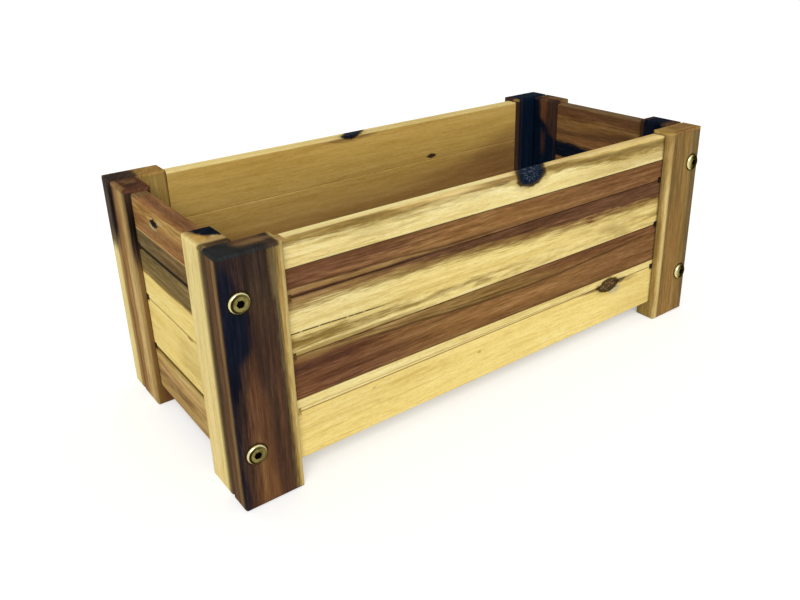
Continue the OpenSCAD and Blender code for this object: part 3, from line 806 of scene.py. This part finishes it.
def back_left_stile(wood):
    """Charcoal at the outer top corner, golden elsewhere, with a cream outer edge lower down."""
    wood.zone("olive", (14, 40), 8, 4, mix=0.5)
    wood.zone("cream", to(6), 4, 1)
    wood.zone("brown", to(5), 3, 1, w=past(18, 4), mix=0.85)
    wood.zone("moss", to(5), 3, 1, w=to(4, 3), mix=0.6)
    wood.zone("moss", to(9), 4, 2, u=to(58, 14))
    wood.zone("umber", to([(0, 24), (40, 12), (190, 9)]), 6, 3, u=to(46, 18))
    wood.zone("ink", to([(0, 17), (40, 8), (190, 6)]), 6, 3, u=to(38, 18), clouded=0.9, mix=0.55)
    wood.zone("moss", to(5), 3, 1, u=to(60, 20), w=to(5, 4), mix=0.4)
    wood.zone("grey", to(5), 3, 2, u=(6, 40, 20), w=(5, 14, 5), mix=0.07)
    wood.zone("soot", to(5), 3, 1, u=(3, 46, 16), w=past(16.5, 3))
    # The top face
    wood.top("orange", 2.2, past(24), 6, 2, mix=0.35)
    wood.top("grey", 2.2, to(22), 6, 2, mix=0.02)


def back_right_stile(wood):
    """Blue-black heartwood with a narrow brown strip beside the panel."""
    wood.zone("navy", past(4), 4, 1.5, mix=0.7)
    wood.zone("umber", to(4.5), 4, 1)
    wood.zone("purple", (6.5, 9), 2, 1, mix=0.15)
    wood.zone("moss", soft=2, ragged=1, u=past(6), w=past(9, 8), mix=0.6)
    wood.zone("brown", past(34), 8, 3, u=past(6), w=past(6, 8), mix=0.7)
    wood.top("golden", 2.2, to(4), 3, w=to(6, 4), mix=0.6)


def left_front_stile(wood):
    """Cream sapwood with an orange top, a blue-black lens at its inner edge, and painted shade at its
    front.
    """
    wood.zone("golden", to(3), 3, 1, u=to(60, 30), mix=0.55)
    wood.zone("peach", (6, 20), 8, 5, u=past(90, 60), mix=0.6)
    # Painted shade in the groove beside the front stile
    wood.zone("olive", past(28.5), 3, 0.6, mix=0.6)
    wood.zone("moss", past(30.6), 2.5, 0.4, mix=0.95)
    wood.zone("umber", past(31.8), 1.6, 0.3, mix=0.7)
    # The top face
    wood.top("tan", 2.4, soft=3, ragged=1, w=past(2.5, 4), mix=0.7)
    wood.blot("orange", (0, 15, 9), (3, 9, 6), 0.8, 0.7, mix=0.8)
    wood.blot("honey", (0, 17, 6), (3, 9, 4), 0.9, 0.5, mix=0.6)
    wood.blot("ink", (0, 4, 24), (150, 17, 18), 0.25, 0.14)
    # Painted shade on the top by the groove beside the front stile
    wood.top("moss", 2.4, past(28), 3, 0.4, mix=0.9)
    wood.top("umber", 2.4, past(29.5), 2, w=past(4, 3), mix=0.8)


def left_back_stile(wood):
    """Golden tan with brown streaks, and reddish purple inside."""
    wood.zone("golden", (10, 24), 8, 4, mix=0.45)
    wood.zone("brown", to(10), 6, 3, mix=0.95)
    wood.line(1.5, 6, (104, 76, 30), u=past(46, 20), soft=4, mix=0.45)
    wood.zone("orange", (8, 18), 6, 4, mix=0.55)
    wood.zone("peach", (19, 31), 12, 7, mix=0.16)
    wood.zone("peach", (21, 31), 8, 5, u=past(70, 50), mix=0.35)
    wood.zone("russet", (7, 18), 8, 4, u=to(56, 36), mix=0.35)
    wood.zone("russet", (8, 15), 6, 5, u=past(90), clouded=0.8, mix=0.4)
    wood.zone("umber", to(7.5), 4, 1.5, u=to(46, 20), mix=0.95)
    # The side beside the panel, in painted shade, black at the first joint
    wood.zone("moss", past(30), 4, 1, mix=0.35)
    wood.zone("moss", past(29), 5, 1, u=to(56, 20), mix=0.6)
    wood.line(END_STILE_WIDTH + 1, 3, (100, 68, 28), soft=0.8, mix=0.75)
    wood.zone("umber", past(32), 2, 0.8, u=to(62, 26))
    wood.zone("soot", past(32.6), 1.5, 0.5, u=(12, 46, 20))
    wood.zone("russet", w=past(END_SINK + 2, 3))
    wood.zone("purple", (5, 26), 8, 5, w=past(6, 5), mix=0.7)
    # The top face
    wood.top("purple", 2.4)
    wood.top("umber", 2.4, (6, 26), 7, 5, w=(5, 15, 5), clouded=0.7, mix=0.9)
    wood.top("tan", 2.4, (2, 30), 3, w=to(3.5, 2), mix=0.5)
    wood.top("tan", 2.4, (8, 18), 5, 3, w=(7, 16, 5), mix=0.3)
    # Painted shade in the groove where the boards enter the stile
    shade_groove(wood, past(END_STILE_WIDTH - 1), END_SINK)


def right_front_stile(wood):
    """Blue-black at the top, brown below."""
    wood.zone("umber", (6, 24), 8, 4, mix=0.7)
    wood.zone("ink", to(30), 6, 3, u=to(40, 40))
    wood.zone("tan", past(28), 4, 2, u=past(60, 40))
    wood.zone("umber", past(28), 4, 2, u=to(60, 40), mix=0.8)
    wood.top("brown", 2.4, to(8), 5, 2, mix=0.4)


def right_back_stile(wood):
    """Navy and purple-brown, with a redder stripe at the top and a brown outer face."""
    wood.zone("russet", (9, 20), 7, 4, u=to(36, 34), mix=0.8)
    wood.zone("ink", to([(0, 9), (18, 11), (34, 25), (46, 36), (190, 40)]), 10, 4)
    wood.zone("navy", to([(0, 8), (18, 10), (34, 22), (46, 32), (190, 36)]), 9, 4, mix=0.6)
    wood.zone("purple", (14, 20), 5, 2, u=(36, 60, 16), mix=0.4)
    wood.zone("brown", w=past(8, 6), mix=0.8)
    wood.top("moss", 2.4, w=past(14), mix=0.8)
    wood.top("umber", 2.4, to(17), 10, 3, mix=0.55)


def floor_slats():
    """The floor: six slats of mixed wood."""
    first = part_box("floor_slat_1")
    starts = [(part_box(f"floor_slat_{number}")[0].x - first[0].x) / MM for number in SLAT_NUMBERS]
    gap = starts[1] - (first[1].x - first[0].x) / MM
    joints = [start - gap / 2 for start in starts[1:]]
    axes = [axis_of("floor_slat_1", way) for way in ("+Y", "+X", "-Z")]
    wood = Wood("floor_slat", axes, (first[1].y - first[0].y) / MM, 73, "tan", joints=joints)
    wood.zone("cream", (joints[0], joints[1]), 0.5)
    wood.zone("brown", (starts[1] + 12, starts[1] + 44), 6, 6)
    wood.zone("brown", (joints[2], starts[3] + 52), 6, 7)
    wood.zone("umber", (starts[3] + 12, starts[3] + 30), 6, 6, mix=0.7)
    wood.zone("cream", (joints[3], starts[4] + 40), 5, 5)
    wood.zone("orange", (starts[5] + 8, starts[5] + 50), 6, 6, mix=0.8)
    return wood.done(0.5)


def cleats():
    """Plain pale cleats under the floor."""
    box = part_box("front_cleat")
    axes = [axis_of("front_cleat", way) for way in ("+X", "-Z", "+Y")]
    wood = Wood("cleat", axes, (box[1].x - box[0].x) / MM, 79)
    wood.zone("tan", (5, 11), 4, 3, mix=0.6)
    return wood.done(0.5)


FLAT_RADIUS = 5.0
SOCKET_RADIUS = 3.0
HEAD_FACE = BOLT_BOX[1].y / MM

# Where the parts of a bolt head begin and end, as distances from its axis and from the middle plane
RIM_START = (HEAD_RADIUS - 1.3, HEAD_RADIUS - 0.7)
SHOULDER_START = (FLAT_RADIUS - 0.3, FLAT_RADIUS + 0.2)
SHOULDER_END = (HEAD_RADIUS - 1.2, HEAD_RADIUS - 0.6)
SOCKET_END = (SOCKET_RADIUS - 0.1, SOCKET_RADIUS + 0.05)
SOCKET_TOP = (HEAD_FACE - 0.5, HEAD_FACE - 0.1)
# From the middle of the planter to the bolts on its right
TO_THE_RIGHT = (0, 180)

# How fine the film and the brushed marks are, per millimetre, and the noise where the film changes
FILM_FINENESS = 0.35
BRUSH_FINENESS = 3.0
FILM_EDGES = (0.3, 0.7)

PLATING = (98, 89, 46)
PLATING_BRIGHT = (142, 130, 78)
# Colours of the painted highlights, the painted dark reflections and the painted shade in the socket
PAINTED_HIGHLIGHT = (232, 222, 164)
SHOULDER = (44, 37, 14)
PAINTED_DARK_REFLECTION = (34, 30, 15)
DARK_REFLECTION_SHARE = 0.9
SOCKET_SHADE = (20, 15, 8)
EDGE_TINT = (0.4, 0.37, 0.25, 1.0)


def yellow_plating():
    """Yellow plating, a cloudy film, painted highlights and dark reflections, painted shade in the socket.
    """
    graph = Graph(bpy.data.materials.new("yellow_plated_steel"))
    where = graph.add("ShaderNodeTexCoord", {}).outputs["Object"]
    axes = graph.split(where)
    right, deep, high = (graph.times(axes[axis], 1 / MM) for axis in "XYZ")
    beside = graph.minus(graph.size_of(right), BOLT_RIGHT)
    middle = (BOLT_LOW + BOLT_HIGH) / 2
    above = graph.minus(graph.size_of(graph.minus(high, middle)), BOLT_HIGH - middle)
    radius = graph.length(beside, above)
    film, brushed = (
        graph.noise(graph.vector(graph.times(right, fineness), deep, graph.times(high, fineness)))
        for fineness in (FILM_FINENESS, BRUSH_FINENESS)
    )
    graph.colour = linear(PLATING)
    graph.lay(graph.ramp(film, *FILM_EDGES), PLATING_BRIGHT)
    # Painted highlight round the rim
    rim = graph.ramp(radius, *RIM_START, 0.0, 0.9)
    graph.lay(rim, PAINTED_HIGHLIGHT)
    # Painted dark reflection on the shoulder, stronger on the outer side
    shoulder = graph.ramp(radius, *SHOULDER_START)
    shoulder = graph.times(shoulder, graph.ramp(radius, *SHOULDER_END, 1.0, 0.0))
    shoulder = graph.times(shoulder, graph.ramp(beside, -5.0, 5.0, 0.35, 1.0))
    graph.lay(shoulder, SHOULDER)
    # Painted highlight on the inner side of the right-hand heads
    side_highlight = graph.ramp(right, *TO_THE_RIGHT)
    side_highlight = graph.times(side_highlight, graph.ramp(beside, -5.5, -3.0, 0.45, 0.0))
    graph.lay(side_highlight, PAINTED_HIGHLIGHT)
    # Painted dark reflection on the outer side of the right-hand heads
    dark_reflection = graph.ramp(right, *TO_THE_RIGHT)
    dark_reflection = graph.times(dark_reflection, graph.ramp(beside, -4.0, 0.0, 0.0, DARK_REFLECTION_SHARE))
    graph.lay(dark_reflection, PAINTED_DARK_REFLECTION)
    # Painted shade in the hex socket
    sunk = graph.ramp(radius, *SOCKET_END, 1.0, 0.0)
    sunk = graph.times(sunk, graph.ramp(graph.size_of(deep), *SOCKET_TOP, 1.0, 0.0))
    graph.lay(sunk, SOCKET_SHADE)
    roughness = graph.ramp(film, *FILM_EDGES, 0.2, 0.3)
    roughness = graph.most(roughness, graph.times(sunk, 0.8))
    shine = {"Metallic": 1.0, "Specular Tint": EDGE_TINT}
    return graph.finish(roughness, brushed, 0.01 * MM, **shine)


ZINC = (168, 170, 172)
ZINC_BRIGHT = (206, 208, 210)
ZINC_GRIME = (96, 96, 94)
# How fine its film and its marks are, per metre
ZINC_FILM_FINENESS = 380.0
ZINC_MARK_FINENESS = 2600.0


def zinc_plating():
    """Zinc plated screws with a cloudy film and a little grime."""
    graph = Graph(bpy.data.materials.new("zinc_plated_steel"))
    where = graph.add("ShaderNodeTexCoord", {}).outputs["Object"]
    film = graph.noise(graph.enlarged(where, ZINC_FILM_FINENESS), 3.0)
    fine = graph.noise(graph.enlarged(where, ZINC_MARK_FINENESS))
    graph.colour = linear(ZINC)
    graph.lay(graph.ramp(film, 0.35, 0.65), ZINC_BRIGHT)
    graph.lay(graph.ramp(fine, 0.58, 0.75, 0.0, 0.35), ZINC_GRIME)
    roughness = graph.ramp(film, 0.3, 0.7, 0.28, 0.45)
    return graph.finish(roughness, fine, 0.03 * MM, Metallic=1.0)


# Each stile's seed, tone, contrast and roughness, its axes across and inwards, and what paints it
STILES = {
    "front_left_stile": (41, "umber", 0.7, 0.42, "+X", "+Y", front_left_stile),
    "front_right_stile": (43, "brown", 0.75, 0.44, "+X", "+Y", front_right_stile),
    "back_left_stile": (47, "golden", 0.7, 0.46, "+X", "-Y", back_left_stile),
    "back_right_stile": (53, "ink", 0.5, 0.42, "+X", "+Y", back_right_stile),
    "left_front_stile": (59, "cream", 0.8, 0.46, "-Y", "+X", left_front_stile),
    "left_back_stile": (61, "tan", 0.85, 0.46, "-Y", "+X", left_back_stile),
    "right_front_stile": (67, "brown", 1.0, 0.46, "+Y", "-X", right_front_stile),
    "right_back_stile": (71, "umber", 0.6, 0.46, "-Y", "+X", right_back_stile),
}


def dress(names, material):
    for name in names:
        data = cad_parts[name].data
        data.materials.clear()
        data.materials.append(material)


def boards(side):
    return [f"{side}_board_{number}" for number in BOARD_NUMBERS]


FINISHES = (
    (front_panel, boards("front")),
    (back_panel, boards("back")),
    (left_panel, boards("left")),
    (right_panel, boards("right")),
    (floor_slats, [f"floor_slat_{number}" for number in SLAT_NUMBERS]),
    (cleats, ["front_cleat", "back_cleat"]),
    (yellow_plating, ["corner_bolts", "bolt_inserts"]),
    (zinc_plating, ["cleat_screws", "slat_screws"]),
)


def dress_nodes():
    for make, names in FINISHES:
        dress(names, make())
    for name, (seed, tone, contrast, roughness, across, inwards, paint) in STILES.items():
        axes = (("Z", STILE_TOP, -1), axis_of(name, across), axis_of(name, inwards))
        wood = Wood(name, axes, STILE_HEIGHT, seed, tone, contrast)
        paint(wood)
        dress([name], wood.done(roughness))


FLOOR_HALF = 8.0
FLOOR_COLOUR = (232, 232, 230)
FLOOR_GLOW = 0.38


def seen_directly(graph):
    """1 for rays from the camera, and for those that metal or glass sends on."""
    path = graph.add("ShaderNodeLightPath", {}).outputs
    either = graph.most(path["Is Camera Ray"], path["Is Glossy Ray"])
    return graph.most(either, path["Is Transmission Ray"])


def make_floor():
    """A pale matt floor. A little glow that only the camera sees lifts it outside the shadow."""
    mesh = bpy.data.meshes.new("floor")
    corners = [(x * FLOOR_HALF, y * FLOOR_HALF, 0.0) for x, y in ((-1, -1), (1, -1), (1, 1), (-1, 1))]
    mesh.from_pydata(corners, [], [(0, 1, 2, 3)])
    floor = bpy.data.objects.new("floor", mesh)
    bpy.context.scene.collection.objects.link(floor)
    graph = Graph(bpy.data.materials.new("floor_paper"))
    diffuse = graph.add("ShaderNodeBsdfDiffuse", {"Color": linear(FLOOR_COLOUR)})
    strength = graph.times(seen_directly(graph), FLOOR_GLOW)
    glow = graph.add("ShaderNodeEmission", {"Color": WHITE, "Strength": strength})
    both = graph.add("ShaderNodeAddShader", {0: diffuse.outputs[0], 1: glow.outputs[0]})
    graph.add("ShaderNodeOutputMaterial", {0: both.outputs[0]})
    mesh.materials.append(graph.owner)


WORLD_LIGHT = 0.5
SUN_FROM = Vector((-0.55, -0.75, 0.75))
SUN_WIDTH = math.radians(35)
SUN_STRENGTH = 1.85


def make_light():
    """A white studio with one broad soft light from the left, the front and above."""
    world = bpy.data.worlds.new("studio")
    bpy.context.scene.world = world
    graph = Graph(world)
    strength = graph.scaled(seen_directly(graph), 1 - WORLD_LIGHT, WORLD_LIGHT)
    background = graph.add("ShaderNodeBackground", {"Color": WHITE, "Strength": strength})
    graph.add("ShaderNodeOutputWorld", {0: background.outputs[0]})
    sun = bpy.data.lights.new("soft_sun", "SUN")
    sun.angle = SUN_WIDTH
    sun.energy = SUN_STRENGTH
    holder = bpy.data.objects.new("soft_sun", sun)
    holder.rotation_euler = SUN_FROM.to_track_quat("Z", "Y").to_euler()
    bpy.context.scene.collection.objects.link(holder)


def make_camera():
    forward = (CAMERA_TARGET - CAMERA_PLACE).normalized()
    level = forward.cross(Vector((0.0, 0.0, 1.0))).normalized()
    upright = level.cross(forward)
    right = level * math.cos(CAMERA_ROLL) + upright * math.sin(CAMERA_ROLL)
    up = upright * math.cos(CAMERA_ROLL) - level * math.sin(CAMERA_ROLL)
    turn = Matrix((right, up, -forward)).transposed().to_4x4()
    data = bpy.data.cameras.new("camera")
    data.sensor_width = SENSOR_WIDTH
    data.lens = FOCAL_PIXELS / PICTURE_WIDTH * SENSOR_WIDTH
    data.shift_x = -CENTRE_RIGHT_PIXELS / PICTURE_WIDTH
    data.shift_y = -CENTRE_UP_PIXELS / PICTURE_WIDTH
    data.clip_start = NEAREST_SEEN
    camera = bpy.data.objects.new("camera", data)
    camera.matrix_world = Matrix.Translation(CAMERA_PLACE) @ turn
    bpy.context.scene.collection.objects.link(camera)
    bpy.context.scene.camera = camera


make_camera()
make_floor()
make_light()
dress_nodes()
bpy.context.scene.view_settings.view_transform = "Standard"
